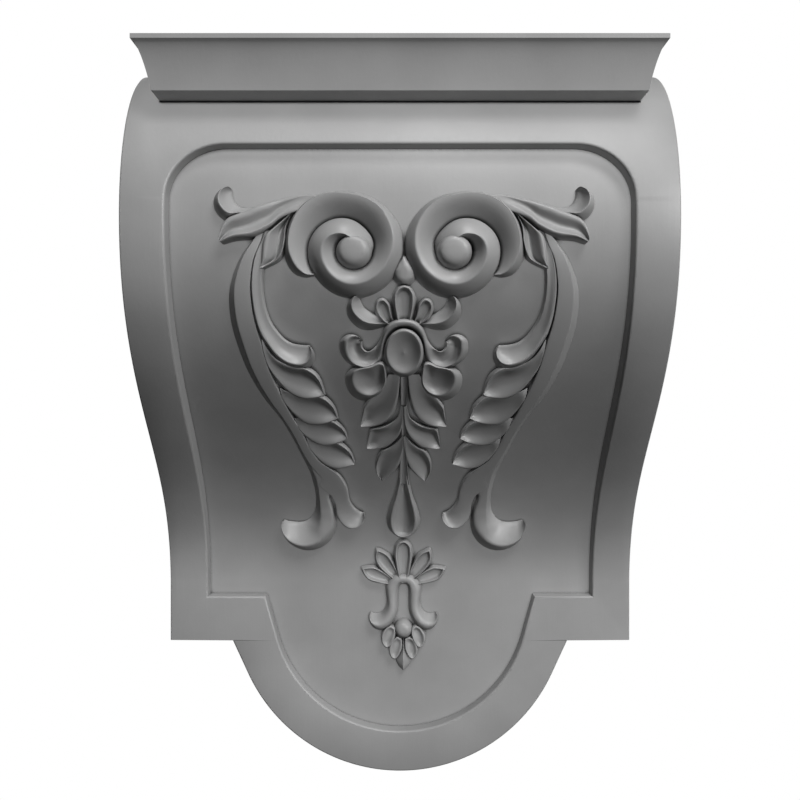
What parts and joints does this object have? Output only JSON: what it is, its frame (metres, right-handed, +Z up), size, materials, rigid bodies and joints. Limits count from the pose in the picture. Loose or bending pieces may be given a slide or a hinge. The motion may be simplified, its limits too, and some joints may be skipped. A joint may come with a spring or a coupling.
{
  "type": "decorative onlay",
  "caption": "Bracket-shaped carved wooden onlay with a sunk panel, a cove crown and applied acanthus scrolls, flat-backed for fixing to a wall or a cabinet.",
  "frame": {"origin": "middle of the flat back face, halfway up and halfway across", "axes": "+Z up along the onlay's height, +Y out of the back face into the wall, so the carved front faces -Y; +X to the right seen from the front"},
  "size_m": [0.2066, 0.1173, 0.3],
  "materials": {
    "grey_paint": "satin grey priming paint over carved wood"
  },
  "bodies": {
    "root": {"body": "grey_paint", "crown": "grey_paint", "acanthus_scrolls": "grey_paint", "lower_pendant": "grey_paint"}
  },
  "joints": []
}
